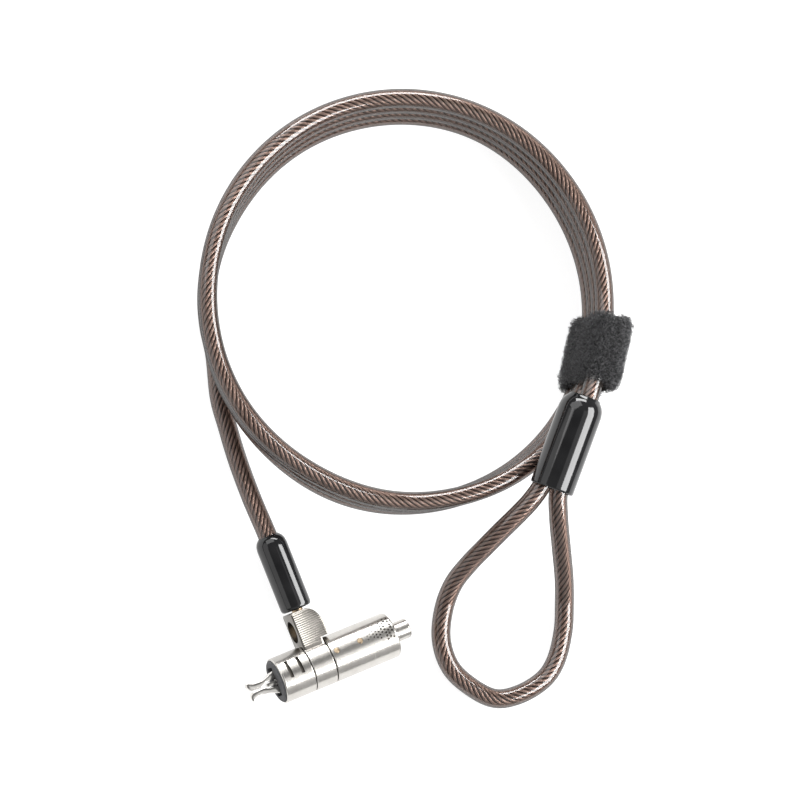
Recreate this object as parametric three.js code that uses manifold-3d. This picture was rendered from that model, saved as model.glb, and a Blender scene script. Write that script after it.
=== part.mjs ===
// A laptop cable lock: a slim keyed lock head that turns in a swivel ring, joined to a coated
// steel cable that is coiled, strapped and ends in a closed loop. Millimetres, +Z up, resting on z = 0.
import * as THREE from 'three';
import { mergeVertices } from 'three/addons/utils/BufferGeometryUtils.js';
import Module from 'manifold-3d';

const wasm = await Module();
wasm.setup();

// Lock head, measured along its own axis from the face that meets the laptop.
const BARREL_R = 6.7;
const FRONT_SHELL_END = 9.3;
const RING_START = 9.6;
const RING_END = 16.0;
const REAR_SHELL_START = 16.3;
const REAR_SHELL_END = 36.5;
const HOOK_REACH = 9.1;
const PLUNGER_END = 41.8;
const PLUNGER_R = 2.9;
const CORE_BORE_R = 3.15;
const CORE_R = 4.3;
const SHELL_BORE_R = 4.6;

// The lug that stands out of the swivel ring and holds the cable's end.
const LUG_TOP = 16.3;
const LUG_HALF_DEPTH = 4.3;
const LUG_END = 18.2;
const LUG_BORE_R = 3.25;
const LUG_BORE_Y = 11;
const STUD_X = 13.3;

// The cable and what is on it.
const CABLE_R = 2.75;
const CABLE_SIDES = 8;
const END_SLEEVE_R = 4.5;
const END_SLEEVE = [17.4, 39];
const LOOP_SLEEVE_R = 6.4;
const COIL_CENTRE = new THREE.Vector2(57.54, 81.93);
const COIL_RADIUS_X = 58.91;
const COIL_RADIUS_Y = 57.58;
const COIL_LEVELS = 3;
const LEVEL_PITCH = 5.56;
const LEVEL_SHIFT = new THREE.Vector2(0.92, -0.63);
const LEVEL_SHRINK = 0.52;
const COIL_TILT = 0.0085;
const COIL_LIFT = 0.6;
const STRAP_ANGLE = -38;

// The row origin is under the middle of the lock head's own box.
const HEAD_ORIGIN = new THREE.Vector3(
  (HOOK_REACH - PLUNGER_END) / 2,
  (BARREL_R - LUG_TOP) / 2,
  BARREL_R
);

const steel = { color: 0xb9b6b0, roughness: 0.28, metalness: 1 };
const polished = { color: 0xd6d3cd, roughness: 0.16, metalness: 1 };
const brass = { color: 0xb98d4e, roughness: 0.3, metalness: 1 };
const rubber = { color: 0x3b3b3d, roughness: 0.85, metalness: 0 };
const blackPlastic = { color: 0x0b0b0c, roughness: 0.12, metalness: 0 };
const aluminium = { color: 0xa9abad, roughness: 0.4, metalness: 1 };
const cableSkin = { color: 0x5d4f49, roughness: 0.2, metalness: 0.3 };
const fleece = { color: 0x151516, roughness: 1, metalness: 0 };

// Geometry helpers.

function signedVolume(geometry) {
  const position = geometry.getAttribute('position');
  const index = geometry.index.array;
  const a = new THREE.Vector3();
  const b = new THREE.Vector3();
  const c = new THREE.Vector3();
  let total = 0;
  for (let i = 0; i < index.length; i += 3) {
    a.fromBufferAttribute(position, index[i]);
    b.fromBufferAttribute(position, index[i + 1]);
    c.fromBufferAttribute(position, index[i + 2]);
    total += a.dot(b.cross(c)) / 6;
  }
  return total;
}

// One closed surface with shared vertices and its faces pointing out.
function closed(geometry) {
  geometry.deleteAttribute('normal');
  geometry.deleteAttribute('uv');
  const merged = mergeVertices(geometry, 1e-4);
  const kept = [];
  const index = merged.index.array;
  for (let i = 0; i < index.length; i += 3) {
    const [a, b, c] = [index[i], index[i + 1], index[i + 2]];
    if (a !== b && b !== c && a !== c) {
      kept.push(a, b, c);
    }
  }
  merged.setIndex(kept);
  if (signedVolume(merged) < 0) {
    for (let i = 0; i < kept.length; i += 3) {
      [kept[i], kept[i + 1]] = [kept[i + 1], kept[i]];
    }
    merged.setIndex(kept);
  }
  return merged;
}

function toManifold(geometry) {
  const merged = closed(geometry);
  return new wasm.Manifold(new wasm.Mesh({
    numProp: 3,
    vertProperties: new Float32Array(merged.getAttribute('position').array),
    triVerts: new Uint32Array(merged.index.array),
  }));
}

function toGeometry(manifold) {
  const mesh = manifold.getMesh();
  const geometry = new THREE.BufferGeometry();
  geometry.setAttribute('position', new THREE.BufferAttribute(mesh.vertProperties, 3));
  geometry.setIndex(new THREE.BufferAttribute(mesh.triVerts, 1));
  return geometry;
}

function cut(base, ...tools) {
  let solid = toManifold(base);
  for (const tool of tools) {
    solid = solid.subtract(toManifold(tool));
  }
  return toGeometry(solid);
}

function join(...pieces) {
  let solid = toManifold(pieces[0]);
  for (const piece of pieces.slice(1)) {
    solid = solid.add(toManifold(piece));
  }
  return toGeometry(solid);
}

// A solid of revolution about X, from (x, radius) points that close on themselves or the axis.
function turned(points, segments = 40) {
  const profile = points.map(([x, radius]) => new THREE.Vector2(radius, x));
  return new THREE.LatheGeometry(profile, segments).rotateZ(-Math.PI / 2);
}

function tubeAlongX(start, end, outer, inner, segments = 40) {
  return turned([[start, inner], [start, outer], [end, outer], [end, inner], [start, inner]], segments);
}

function rodAlongX(start, end, radius, segments = 24) {
  return turned([[start, 0], [start, radius], [end, radius], [end, 0]], segments);
}

function rodAlongY(start, end, radius, segments = 24) {
  return new THREE.CylinderGeometry(radius, radius, end - start, segments).translate(0, (start + end) / 2, 0);
}

function box(low, high) {
  const size = high.map((value, i) => value - low[i]);
  const middle = high.map((value, i) => (value + low[i]) / 2);
  return new THREE.BoxGeometry(...size).translate(...middle);
}

function mesh(name, geometry, look) {
  const piece = new THREE.Mesh(closed(geometry), new THREE.MeshStandardMaterial(look));
  piece.name = name;
  return piece;
}

// Lock head: shells, core and face pad.

const CIRCUMFERENTIAL_SLOTS = [2.9, 6.4];
const HOOK_WINDOW = { y: 4.3, top: 1.7, bottom: -3.3 };

function frontShell() {
  const shell = turned([
    [0.9, 0], [0.9, 6.25], [0, 6.25], [0, 6.5], [0.2, BARREL_R], [FRONT_SHELL_END, BARREL_R],
    [FRONT_SHELL_END, SHELL_BORE_R], [2.4, SHELL_BORE_R], [2.4, 0],
  ], 48);
  const window = box([-1, -HOOK_WINDOW.y, HOOK_WINDOW.bottom], [3, HOOK_WINDOW.y, HOOK_WINDOW.top]);
  const slots = CIRCUMFERENTIAL_SLOTS.map((x) =>
    box([x - 0.5, -3.4, 5.9], [x + 0.5, 3.4, 8]).rotateX(THREE.MathUtils.degToRad(-20)));
  return cut(shell, window, ...slots);
}

function nosePad() {
  const pad = rodAlongX(-0.4, 0.7, 6.1, 40);
  return cut(pad, box([-1, -4.2, -3.2], [1, 4.2, 1.6]));
}

const DOWEL_PLACES = [17.9, 25.3];
const DOWEL_ANGLE = THREE.MathUtils.degToRad(-17);

function rearShell() {
  const shell = turned([
    [REAR_SHELL_START, SHELL_BORE_R], [REAR_SHELL_START, 6.5], [REAR_SHELL_START + 0.2, BARREL_R],
    [REAR_SHELL_END - 0.8, BARREL_R], [REAR_SHELL_END - 0.25, 6.5], [REAR_SHELL_END, 6.0],
    [REAR_SHELL_END, CORE_BORE_R], [34.8, CORE_BORE_R], [34.8, SHELL_BORE_R], [REAR_SHELL_START, SHELL_BORE_R],
  ], 48);
  return cut(shell, ...DOWEL_PLACES.map((x) => dowelHole(x, 0.85)));
}

function dowelHole(x, radius) {
  const hole = new THREE.CylinderGeometry(radius, radius, 4.5, 16).rotateX(Math.PI / 2);
  return hole.translate(x, 0, 5.85).rotateX(DOWEL_ANGLE);
}

function dowelPin(x) {
  const pin = new THREE.CylinderGeometry(0.8, 0.8, 2.85, 16).rotateX(Math.PI / 2);
  return pin.translate(x, 0, 5.2).rotateX(DOWEL_ANGLE);
}

function coreSleeve() {
  const core = turned([
    [4.6, 1.6], [4.6, CORE_R], [34.5, CORE_R], [34.5, CORE_BORE_R], [5.6, CORE_BORE_R], [5.6, 1.6], [4.6, 1.6],
  ]);
  return cut(core, ...DOWEL_PLACES.map((x) => dowelHole(x, 0.85)));
}

// Hooks: two bent fingers that spread inside the laptop's slot.

const HOOK_PIVOT = new THREE.Vector2(3.5, 1.95);
const HOOK_HALF_WIDTH = 1.2;

function hookOutline() {
  const outline = new THREE.Shape();
  outline.moveTo(4.3, 1.3);
  outline.lineTo(4.3, 2.7);
  outline.lineTo(2.6, 3.1);
  outline.lineTo(-0.4, 3.3);
  outline.quadraticCurveTo(-1.6, 3.1, -2.6, 2.35);
  outline.quadraticCurveTo(-4.0, 1.9, -5.4, 1.95);
  outline.quadraticCurveTo(-7.4, 2.1, -8.4, 2.75);
  outline.quadraticCurveTo(-9.0, 2.8, -HOOK_REACH, 2.2);
  outline.quadraticCurveTo(-9.0, 1.1, -8.2, 0.25);
  outline.lineTo(-4.9, 0.12);
  outline.quadraticCurveTo(-4.2, 0.15, -3.6, 0.85);
  outline.lineTo(-1.0, 0.95);
  outline.lineTo(0, 1.15);
  outline.closePath();
  return outline;
}

function hook(side) {
  const depth = 2 * HOOK_HALF_WIDTH;
  const body = new THREE.ExtrudeGeometry(hookOutline(), { depth, bevelEnabled: false, curveSegments: 5 });
  body.translate(0, 0, -HOOK_HALF_WIDTH);
  const hole = new THREE.CylinderGeometry(0.5, 0.5, 4, 12).rotateX(Math.PI / 2);
  hole.translate(HOOK_PIVOT.x, HOOK_PIVOT.y, 0);
  const finger = cut(body, hole);
  return side > 0 ? finger : finger.scale(1, -1, 1);
}

function hookPin(side) {
  const pin = new THREE.CylinderGeometry(0.4, 0.4, 7.7, 12).rotateX(Math.PI / 2);
  return pin.translate(HOOK_PIVOT.x, side * HOOK_PIVOT.y, 0);
}

// The push-in lock cylinder, the spreader it drives, its return spring and the key plug.

const PIN_PLACES = [25, 28, 31, 34];
const PLUG_R = 1.75;
const PLUG_BORE_R = 1.8;
const CHAMBER_R = 0.5;
const CYLINDER_START = 13.5;

function upright(x, low, high, radius) {
  return new THREE.CylinderGeometry(radius, radius, high - low, 12).rotateX(Math.PI / 2)
    .translate(x, 0, (low + high) / 2);
}

function lockCylinder() {
  const cylinder = turned([
    [CYLINDER_START, 0], [CYLINDER_START, PLUNGER_R], [PLUNGER_END - 0.3, PLUNGER_R], [PLUNGER_END, 2.6],
    [PLUNGER_END, PLUG_BORE_R], [22, PLUG_BORE_R], [22, 0],
  ]);
  const socket = rodAlongX(CYLINDER_START - 1, CYLINDER_START + 2.5, 1.05);
  return cut(cylinder, socket, ...PIN_PLACES.map((x) => upright(x, 0, 2.6, CHAMBER_R + 0.05)));
}

function keyPlug() {
  const plug = rodAlongX(22.3, PLUNGER_END - 0.25, PLUG_R - 0.05);
  const keyway = box([30, -0.3, -1.1], [PLUNGER_END + 1, 0.3, 1.1]);
  return cut(plug, keyway, ...PIN_PLACES.map((x) => upright(x, 0.2, 2, CHAMBER_R + 0.05)));
}

function spreader() {
  const rod = rodAlongX(-0.4, CYLINDER_START + 2.2, 1.0, 20);
  const blade = new THREE.Shape();
  blade.moveTo(0.6, 0.55);
  blade.lineTo(-2.2, 0.55);
  blade.lineTo(-2.9, 0.42);
  blade.lineTo(-3.3, 0.3);
  blade.lineTo(-3.3, -0.3);
  blade.lineTo(-2.9, -0.42);
  blade.lineTo(-2.2, -0.55);
  blade.lineTo(0.6, -0.55);
  blade.closePath();
  const wedge = new THREE.ExtrudeGeometry(blade, { depth: 1.8, bevelEnabled: false }).translate(0, 0, -0.9);
  const slimmed = cut(rod, box([-2, 0.65, -2], [6, 2, 2]), box([-2, -2, -2], [6, -0.65, 2]));
  return join(slimmed, wedge);
}

class Helix extends THREE.Curve {
  constructor(start, end, radius, turns) {
    super();
    Object.assign(this, { start, end, radius, turns });
  }

  getPoint(t, target = new THREE.Vector3()) {
    const angle = 2 * Math.PI * this.turns * t;
    const x = this.start + (this.end - this.start) * t;
    return target.set(x, this.radius * Math.cos(angle), this.radius * Math.sin(angle));
  }
}

function polygon(radius, sides) {
  const shape = new THREE.Shape();
  for (let i = 0; i < sides; i += 1) {
    const angle = (2 * Math.PI * (i + 0.5)) / sides;
    const [x, y] = [radius * Math.cos(angle), radius * Math.sin(angle)];
    if (i === 0) {
      shape.moveTo(x, y);
    } else {
      shape.lineTo(x, y);
    }
  }
  shape.closePath();
  return shape;
}

function swept(curve, radius, steps, sides = CABLE_SIDES) {
  return new THREE.ExtrudeGeometry(polygon(radius, sides), { steps, extrudePath: curve });
}

function returnSpring() {
  return swept(new Helix(6.2, 10.4, 2.2, 4), 0.25, 48, 6);
}

// The swivel ring with its lug, and the headed stud that turns in the lug's bore.

function swivelRing() {
  const ring = tubeAlongX(RING_START, RING_END, BARREL_R, SHELL_BORE_R, 48);
  const profile = new THREE.Shape();
  const corner = 4;
  profile.moveTo(RING_START, 5.2);
  profile.lineTo(RING_START, LUG_TOP - 0.4);
  profile.quadraticCurveTo(RING_START, LUG_TOP, RING_START + 0.4, LUG_TOP);
  profile.lineTo(LUG_END - corner, LUG_TOP);
  profile.quadraticCurveTo(LUG_END - 0.6, LUG_TOP - 0.4, LUG_END, LUG_TOP - 5);
  profile.lineTo(LUG_END, 7.1);
  profile.lineTo(RING_END, 7.1);
  profile.lineTo(RING_END, 5.2);
  profile.closePath();
  const depth = 2 * LUG_HALF_DEPTH;
  const lug = new THREE.ExtrudeGeometry(profile, { depth, bevelEnabled: false, curveSegments: 6 });
  lug.translate(0, 0, -LUG_HALF_DEPTH);
  const bore = rodAlongX(RING_START - 1, LUG_END - 0.9, LUG_BORE_R, 32).translate(0, LUG_BORE_Y, 0);
  const neck = rodAlongY(LUG_BORE_Y, LUG_TOP + 1, 1.9).translate(STUD_X, 0, 0);
  const clearance = rodAlongX(RING_START - 1, RING_END + 1, SHELL_BORE_R, 48);
  return cut(join(ring, lug), clearance, bore, neck);
}

function cableStud() {
  const profile = [[0, 9.7], [2.6, 9.7], [2.6, 12.3], [1.6, 12.7], [1.6, 24], [0, 24]];
  return new THREE.LatheGeometry(profile.map(([r, y]) => new THREE.Vector2(r, y)), 24);
}

function endSleeve() {
  const [low, high] = END_SLEEVE;
  const profile = [
    [3.1, low], [4.1, low], [END_SLEEVE_R, low + 0.6], [END_SLEEVE_R, high - 2.4], [4.1, high - 0.9],
    [3.3, high], [2.95, high], [2.95, high - 3.2], [3.4, high - 3.6], [3.4, low + 1], [3.1, low],
  ];
  return new THREE.LatheGeometry(profile.map(([r, y]) => new THREE.Vector2(r, y)), 32);
}

function endFerrule() {
  return cut(rodAlongY(19, 34, 3.1), rodAlongY(18, 24.3, 1.75), rodAlongY(28, 35, 1.75));
}

function head() {
  const group = new THREE.Group();
  group.position.copy(HEAD_ORIGIN);
  group.add(
    mesh('front_shell', frontShell(), steel),
    mesh('nose_pad', nosePad(), rubber),
    mesh('rear_shell', rearShell(), steel),
    mesh('core_sleeve', coreSleeve(), steel),
    mesh('dowel_pin_front', dowelPin(DOWEL_PLACES[0]), brass),
    mesh('dowel_pin_rear', dowelPin(DOWEL_PLACES[1]), brass),
    mesh('hook_left', hook(1), polished),
    mesh('hook_right', hook(-1), polished),
    mesh('hook_pin_left', hookPin(1), steel),
    mesh('hook_pin_right', hookPin(-1), steel),
    mesh('lock_cylinder', lockCylinder(), polished),
    mesh('key_plug', keyPlug(), brass),
    mesh('spreader', spreader(), polished),
    mesh('return_spring', returnSpring(), steel),
    mesh('swivel_ring', swivelRing(), steel),
  );
  PIN_PLACES.forEach((x, i) => {
    group.add(mesh(`key_pin_${i + 1}`, upright(x, 0.35, 1.45, CHAMBER_R), brass));
    group.add(mesh(`driver_pin_${i + 1}`, upright(x, 1.85, 2.45, CHAMBER_R), steel));
  });
  const stud = new THREE.Group();
  stud.position.x = STUD_X;
  stud.add(
    mesh('cable_stud', cableStud(), brass),
    mesh('end_sleeve', endSleeve(), blackPlastic),
    mesh('end_ferrule', endFerrule(), aluminium),
  );
  group.add(stud);
  return group;
}

// Cable: a tail from the lock to the coil, the coil, a lead through the strap, and the loop.

// How far a level of the coil is lifted at a place, so that it leans against the strap.
function coilLift(x, y) {
  const angle = THREE.MathUtils.degToRad(STRAP_ANGLE);
  const along = (x - COIL_CENTRE.x) * Math.cos(angle) + (y - COIL_CENTRE.y) * Math.sin(angle);
  return COIL_LIFT + COIL_TILT * along;
}

// A point on the coil's centreline: level 3 is the uppermost turn.
function coilPoint(degrees, level) {
  const angle = THREE.MathUtils.degToRad(degrees);
  const below = COIL_LEVELS - level;
  const x = COIL_CENTRE.x + (COIL_RADIUS_X - LEVEL_SHRINK * below) * Math.cos(angle) + LEVEL_SHIFT.x * below;
  const y = COIL_CENTRE.y + (COIL_RADIUS_Y - LEVEL_SHRINK * below) * Math.sin(angle) + LEVEL_SHIFT.y * below;
  return new THREE.Vector3(x, y, CABLE_R + LEVEL_PITCH * level + coilLift(x, y));
}

function coilRing() {
  const half = CABLE_R;
  const low = 0;
  const high = LEVEL_PITCH * (COIL_LEVELS - 1) + 2 * half;
  const belowTop = COIL_LEVELS;
  const inward = LEVEL_SHRINK * (high / LEVEL_PITCH);
  const mean = (COIL_RADIUS_X + COIL_RADIUS_Y) / 2 - LEVEL_SHRINK * belowTop;
  const bevel = 1.6;
  const profile = [
    [mean - half, low + bevel], [mean - half + bevel, low], [mean + half - bevel, low],
    [mean + half, low + bevel], [mean + half + inward, high - bevel], [mean + half + inward - bevel, high],
    [mean - half + inward + bevel, high], [mean - half + inward, high - bevel], [mean - half, low + bevel],
  ];
  const ring = new THREE.LatheGeometry(profile.map(([r, z]) => new THREE.Vector2(r, z)), 72).rotateX(Math.PI / 2);
  const angle = THREE.MathUtils.degToRad(STRAP_ANGLE);
  const leanX = -LEVEL_SHIFT.x / LEVEL_PITCH;
  const leanY = -LEVEL_SHIFT.y / LEVEL_PITCH;
  const shiftX = LEVEL_SHIFT.x * belowTop;
  const shiftY = LEVEL_SHIFT.y * belowTop;
  const slopeX = COIL_TILT * Math.cos(angle);
  const slopeY = COIL_TILT * Math.sin(angle);
  const stretchX = (COIL_RADIUS_X - LEVEL_SHRINK * belowTop) / mean;
  const stretchY = (COIL_RADIUS_Y - LEVEL_SHRINK * belowTop) / mean;
  const placed = new THREE.Matrix4().set(
    stretchX, 0, leanX, COIL_CENTRE.x + shiftX,
    0, stretchY, leanY, COIL_CENTRE.y + shiftY,
    slopeX, slopeY, 1, COIL_LIFT + slopeX * shiftX + slopeY * shiftY,
    0, 0, 0, 1
  );
  return ring.applyMatrix4(placed);
}

const v = (x, y, z) => new THREE.Vector3(x, y, z);

// From inside the lock's sleeve to the outside of the coil's lowest turn.
const TAIL = [
  v(-3.05, 31, 6.7), v(-3.05, 35.6, 6.5), v(-2.95, 45.6, 5.2), v(-2.3, 55.8, 3.7), v(-1.7, 61.6, 3),
];

// From inside the loop's sleeve, through the strap, onto the uppermost turn.
const LEAD_START = [
  v(93.21, 34.45, 25.3), v(95.81, 37.45, 25.8), v(99.81, 42.25, 25.1), v(104.11, 47.85, 23.5), v(108.7, 53.75, 21.5),
];
const LEAD_ANGLES = [-20, -8, 4, 20, 40, 60, 80, 100, 120, 136];

// Out of the loop's sleeve, round the loop and back into the sleeve.
const LOOP = [
  v(81.91, 19.55, 21.5), v(78.01, 15.05, 20.4), v(76.15, 8.15, 17.49), v(75.23, -0.45, 12.42), v(74.32, -9.25, 7.14),
  v(72.7, -16.25, 3.7), v(69.9, -22.75, 2.8), v(64.5, -29.95, 2.8), v(59.4, -33.45, 2.8), v(50.6, -34.95, 2.8),
  v(43.1, -33.35, 2.8), v(37.1, -26.75, 2.8), v(34.1, -20.05, 2.8), v(34.6, -11.95, 2.8), v(38.5, -3.85, 3.9),
  v(43.05, 1.75, 6.46), v(48.22, 5.35, 9.95), v(53.5, 8.15, 13.33), v(58.99, 10.85, 16.25), v(64.31, 13.25, 18.5),
  v(69.31, 15.65, 19.8), v(74.11, 18.75, 20.6), v(78.01, 23.05, 21.5),
];

const SLEEVE_TOP = v(94.21, 37.55, 26.2);
const SLEEVE_BOTTOM = v(76.11, 16.75, 21.3);

function cableTube(points, steps) {
  return swept(new THREE.CatmullRomCurve3(points, false, 'centripetal'), CABLE_R, steps);
}

// The loop's sleeve lies along its own Y axis, with its foot at the origin.
function alongSleeve(piece) {
  const direction = SLEEVE_TOP.clone().sub(SLEEVE_BOTTOM).normalize();
  piece.position.copy(SLEEVE_BOTTOM);
  piece.quaternion.setFromUnitVectors(new THREE.Vector3(0, 1, 0), direction);
  return piece;
}

const SLEEVE_LENGTH = SLEEVE_TOP.distanceTo(SLEEVE_BOTTOM);

function loopSleeve() {
  const top = SLEEVE_LENGTH;
  const profile = [
    [5.7, 0], [6.2, 0], [LOOP_SLEEVE_R, 0.4], [LOOP_SLEEVE_R, top - 4], [6, top - 2], [5, top - 0.6],
    [4.6, top], [4.3, top], [4.3, top - 1.2], [5.7, top - 3], [5.7, 0],
  ];
  return new THREE.LatheGeometry(profile.map(([r, y]) => new THREE.Vector2(r, y)), 40);
}

function loopFerrule() {
  const low = 8;
  const high = 20;
  const outline = new THREE.Shape();
  outline.absellipse(0, 0, 4.9, 3, 0, 2 * Math.PI, false, 0);
  const block = new THREE.ExtrudeGeometry(outline, { depth: high - low, bevelEnabled: false, curveSegments: 14 });
  block.rotateX(-Math.PI / 2).translate(0, low, 0);
  const bores = [-2.4, 2.4].map((x) => rodAlongY(low - 1, high + 1, 1.6, 16).translate(x, 0, 0));
  return cut(block, ...bores);
}

function strapBand() {
  const outer = { width: 12.8, low: 0.02, high: 29.6 };
  const inner = { width: 9.6, low: 0.95, high: 28.3 };
  const length = 21;
  const outline = roundedRectangle(outer, 3.2);
  outline.holes.push(roundedRectangle(inner, 2));
  const band = new THREE.ExtrudeGeometry(outline, { depth: length, bevelEnabled: false, curveSegments: 5 });
  return band.translate(0, 0, -length / 2).rotateX(Math.PI / 2);
}

function roundedRectangle({ width, low, high }, corner) {
  const shape = new THREE.Shape();
  const half = width / 2;
  const lower = Math.min(corner, (high - low) / 4, low < 0.5 ? 1.2 : 0.8);
  shape.moveTo(-half + lower, low);
  shape.lineTo(half - lower, low);
  shape.quadraticCurveTo(half, low, half, low + lower);
  shape.lineTo(half, high - corner);
  shape.quadraticCurveTo(half, high, half - corner, high);
  shape.lineTo(-half + corner, high);
  shape.quadraticCurveTo(-half, high, -half, high - corner);
  shape.lineTo(-half, low + lower);
  shape.quadraticCurveTo(-half, low, -half + lower, low);
  return shape;
}

function strap() {
  const piece = mesh('strap', strapBand(), fleece);
  const place = coilPoint(STRAP_ANGLE + 2, 1.5);
  piece.position.set(place.x, place.y, 0);
  piece.rotation.z = THREE.MathUtils.degToRad(STRAP_ANGLE + 2);
  return piece;
}

function cable() {
  const group = new THREE.Group();
  const lead = [...LEAD_START, ...LEAD_ANGLES.map((degrees) => coilPoint(degrees, COIL_LEVELS))];
  group.add(
    mesh('cable_tail', cableTube(TAIL, 6), cableSkin),
    mesh('cable_coil', coilRing(), cableSkin),
    mesh('cable_lead', cableTube(lead, 26), cableSkin),
    mesh('cable_loop', cableTube(LOOP, 26), cableSkin),
    alongSleeve(mesh('loop_sleeve', loopSleeve(), blackPlastic)),
    alongSleeve(mesh('loop_ferrule', loopFerrule(), aluminium)),
    strap(),
  );
  return group;
}

const lock = new THREE.Group();
lock.add(head(), cable());

export default lock;
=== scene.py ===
"""A laptop cable lock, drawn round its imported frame. Shapes are in millimetres and built in metres."""

import math
import random

import bmesh
import bpy
from mathutils import Matrix, Vector, noise


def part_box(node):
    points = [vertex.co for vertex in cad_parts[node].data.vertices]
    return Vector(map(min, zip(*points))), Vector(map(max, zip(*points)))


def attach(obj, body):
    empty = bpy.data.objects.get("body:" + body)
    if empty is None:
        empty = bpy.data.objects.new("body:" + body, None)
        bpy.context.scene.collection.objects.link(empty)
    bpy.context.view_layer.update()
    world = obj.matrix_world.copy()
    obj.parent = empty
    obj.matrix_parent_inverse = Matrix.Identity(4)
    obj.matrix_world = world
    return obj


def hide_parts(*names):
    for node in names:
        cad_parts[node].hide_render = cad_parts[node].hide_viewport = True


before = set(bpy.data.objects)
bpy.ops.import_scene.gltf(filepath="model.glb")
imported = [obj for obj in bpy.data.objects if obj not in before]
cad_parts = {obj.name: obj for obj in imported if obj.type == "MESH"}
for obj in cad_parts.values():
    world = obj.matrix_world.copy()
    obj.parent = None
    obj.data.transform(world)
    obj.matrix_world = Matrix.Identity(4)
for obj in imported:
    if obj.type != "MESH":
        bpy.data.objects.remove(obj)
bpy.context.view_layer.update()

MM = 0.001
random.seed(11)

# The lock head's own axes: x from the nose face along the barrel, y towards the lug, z up.
shell_low, shell_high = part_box("front_shell")
NOSE = Vector((shell_low[0], (shell_low[1] + shell_high[1]) / 2, (shell_low[2] + shell_high[2]) / 2))

BARREL_R = 6.7
FRONT_SHELL_END = 9.3
RING_START, RING_END = 9.6, 16.0
REAR_SHELL_START, REAR_SHELL_END = 16.3, 36.5
BORE_R = 4.6
SLOT_PLACES = (2.9, 6.4)
PLUNGER_R, PLUNGER_END = 2.9, 41.8
LUG_TOP, LUG_END, LUG_HALF_DEPTH = 16.3, 18.2, 4.3
LUG_BORE_R, LUG_BORE_Y = 3.25, 11.0
STUD_X = 13.3

# Cable route, in metres. It lies where the CAD model's cable solids lie.
CABLE_D = 0.0055
ROPE_R = 0.00205
COIL_CENTRE = (0.05754, 0.08193)
COIL_RADIUS = (0.05891, 0.05758)
LEVEL_PITCH = 0.00556
LEVEL_SHIFT = (0.00092, -0.00063)
LEVEL_SHRINK = 0.00052
COIL_LEVELS = 3
COIL_TILT = 0.0085
COIL_LIFT = 0.0006
STRAP_ANGLE = -38
# Where turns lie out of true: the angle, how far the place spreads, the shift at the top and bottom turn.
LEANS = ((225, 24, -0.0012, 0.00075), (288, 20, 0.0015, 0), (45, 24, 0.0002, 0.0009), (150, 16, 0, 0.0009))
STEP_DOWN_ANGLES = (188, 258)

TAIL = [
    (-0.00305, 0.031, 0.0067), (-0.00305, 0.0356, 0.0065), (-0.00295, 0.0456, 0.0052),
    (-0.0023, 0.0558, 0.0037),
    (-0.0017, 0.0616, 0.003), (-0.0011, 0.067, 0.00285), (-0.0002, 0.0752, 0.0028),
]
LEAD_START = [
    (0.09321, 0.03445, 0.0253), (0.09581, 0.03745, 0.0258), (0.09981, 0.04225, 0.0251),
    (0.10411, 0.04785, 0.0235),
    (0.1087, 0.05375, 0.0215),
]
LOOP = [
    (0.08191, 0.01955, 0.0215), (0.07801, 0.01505, 0.0204), (0.07615, 0.00815, 0.01749),
    (0.07523, -0.00045, 0.01242),
    (0.07432, -0.00925, 0.00714), (0.0727, -0.01625, 0.0037), (0.0699, -0.02275, 0.0028),
    (0.0645, -0.02995, 0.0028),
    (0.0594, -0.03345, 0.0028), (0.0506, -0.03495, 0.0028), (0.0431, -0.03335, 0.0028),
    (0.0371, -0.02675, 0.0028),
    (0.0341, -0.02005, 0.0028), (0.0346, -0.01195, 0.0028), (0.0385, -0.00385, 0.0039),
    (0.04305, 0.00175, 0.00646),
    (0.04822, 0.00535, 0.00995), (0.0535, 0.00815, 0.01333), (0.05899, 0.01085, 0.01625),
    (0.06431, 0.01325, 0.0185),
    (0.06931, 0.01565, 0.0198), (0.07411, 0.01875, 0.0206), (0.07801, 0.02305, 0.0215),
]
SLEEVE_TOP = Vector((0.09421, 0.03755, 0.0262))
SLEEVE_BOTTOM = Vector((0.07611, 0.01675, 0.0213))
END_SLEEVE_R, END_SLEEVE = 4.5, (16.8, 39.0)
LOOP_SLEEVE_R = 6.4


# ---------------------------------------------------------------- camera, lights, floor

CAMERA_TARGET = Vector((0.04845, 0.05615, 0.0067))
CAMERA_DISTANCE = 1.5
CAMERA_TILT = math.radians(18)
CAMERA_ROLL = math.radians(21.7)
VIEW_WIDTH = 0.2288

across = Vector((math.cos(CAMERA_TILT), 0, math.sin(CAMERA_TILT)))
back = Vector((-math.sin(CAMERA_TILT), 0, math.cos(CAMERA_TILT)))
side = Vector((0, 1, 0))
view_right = across * math.cos(CAMERA_ROLL) - side * math.sin(CAMERA_ROLL)
view_up = across * math.sin(CAMERA_ROLL) + side * math.cos(CAMERA_ROLL)


def make_camera():
    data = bpy.data.cameras.new("camera")
    data.sensor_width = 36
    data.lens = 36 * CAMERA_DISTANCE / VIEW_WIDTH
    data.clip_start = 0.05
    camera = bpy.data.objects.new("camera", data)
    bpy.context.scene.collection.objects.link(camera)
    turn = Matrix((view_right, view_up, back)).transposed()
    camera.matrix_world = Matrix.Translation(CAMERA_TARGET + back * CAMERA_DISTANCE) @ turn.to_4x4()
    bpy.context.scene.camera = camera


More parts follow.
